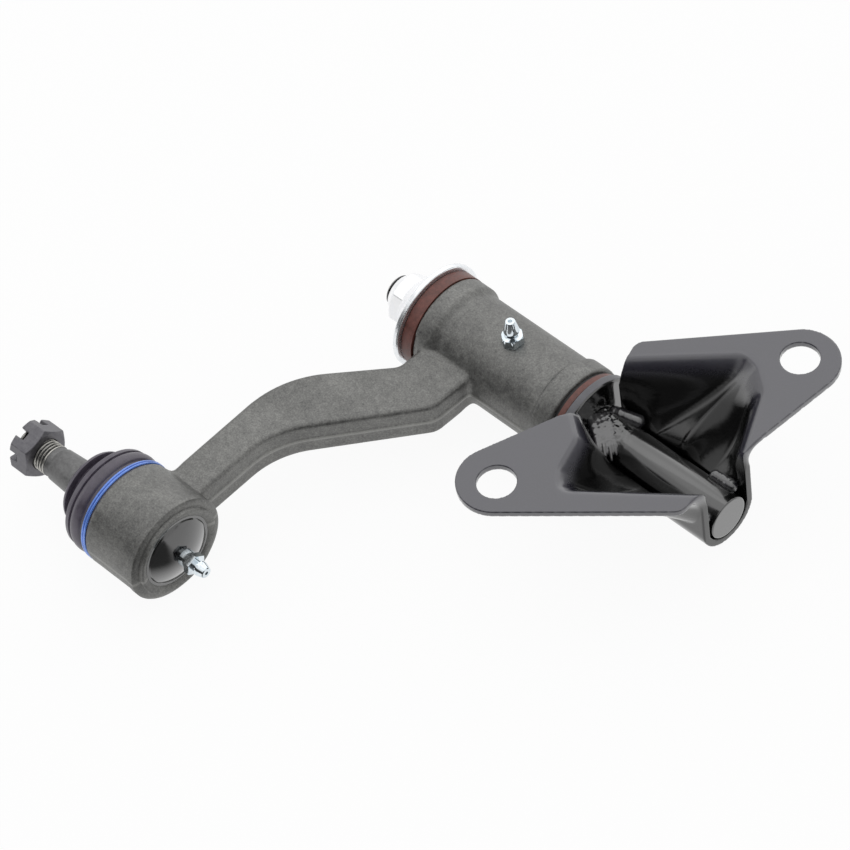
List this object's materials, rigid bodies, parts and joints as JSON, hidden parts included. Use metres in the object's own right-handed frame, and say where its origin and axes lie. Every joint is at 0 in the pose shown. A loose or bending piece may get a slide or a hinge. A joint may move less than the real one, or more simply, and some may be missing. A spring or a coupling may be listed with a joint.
{
  "type": "steering idler arm",
  "caption": "Steering idler arm: pressed bolt-on bracket with welded pivot shaft, bushed forged arm and a tapered ball stud in a rubber boot.",
  "frame": {"origin": "middle of the two bolt holes, on the bracket's mounting face", "axes": "+Z out of the mounting face, +X along the pivot shaft towards its welded end, arm reaching to -Y"},
  "size_m": [0.2498, 0.2522, 0.0575],
  "materials": {
    "black_paint": "satin black paint",
    "shaft_steel": "turned steel",
    "weld_metal": "rough bead",
    "zinc_plate": "bright zinc",
    "bush_composite": "filled composite",
    "black_rubber": "matte",
    "forged_steel": "matte forging skin",
    "seat_plastic": "plain",
    "stud_steel": "phosphated steel",
    "boot_rubber": "matte",
    "blue_ring": "blue coat"
  },
  "bodies": {
    "bracket": {"bracket_plate": "black_paint", "pivot_shaft": "shaft_steel", "weld_beads": "weld_metal", "thrust_ring": "shaft_steel", "end_washer": "zinc_plate", "lock_nut": "zinc_plate"},
    "arm": {"idler_arm": "forged_steel", "inner_bush": "bush_composite", "outer_bush": "bush_composite", "barrel_seal": "black_rubber", "barrel_grease_fitting": "zinc_plate", "barrel_fitting_ball": "shaft_steel", "cap_grease_fitting": "zinc_plate", "cap_fitting_ball": "shaft_steel", "cover_plate": "shaft_steel", "preload_spring": "shaft_steel", "cap_side_seat": "seat_plastic", "stud_side_seat": "seat_plastic"},
    "boot": {"dust_boot": "boot_rubber", "boot_ring": "blue_ring"},
    "boot_neck": {"boot_neck_ring": "black_rubber"},
    "stud": {"ball_stud": "stud_steel", "castle_nut": "stud_steel"}
  },
  "joints": [
    {"name": "arm_swing", "type": "hinge", "parent": "bracket", "child": "arm", "pos_m": [0, 0, -0.031], "axis": [1, 0, 0], "range_deg": [-40, 40]},
    {"name": "boot_turn", "type": "hinge", "parent": "arm", "child": "boot", "pos_m": [-0.1329, -0.1524, -0.031], "axis": [1, 0, 0], "continuous": true},
    {"name": "stud_tilt", "type": "hinge", "parent": "boot", "child": "boot_neck", "pos_m": [-0.1329, -0.1524, -0.031], "axis": [0, 0, 1], "range_deg": [-18, 18], "deforming": ["dust_boot"]},
    {"name": "stud_spin", "type": "hinge", "parent": "boot_neck", "child": "stud", "pos_m": [-0.1329, -0.1524, -0.031], "axis": [0.9997, 0.0241, 0.0092], "continuous": true}
  ]
}
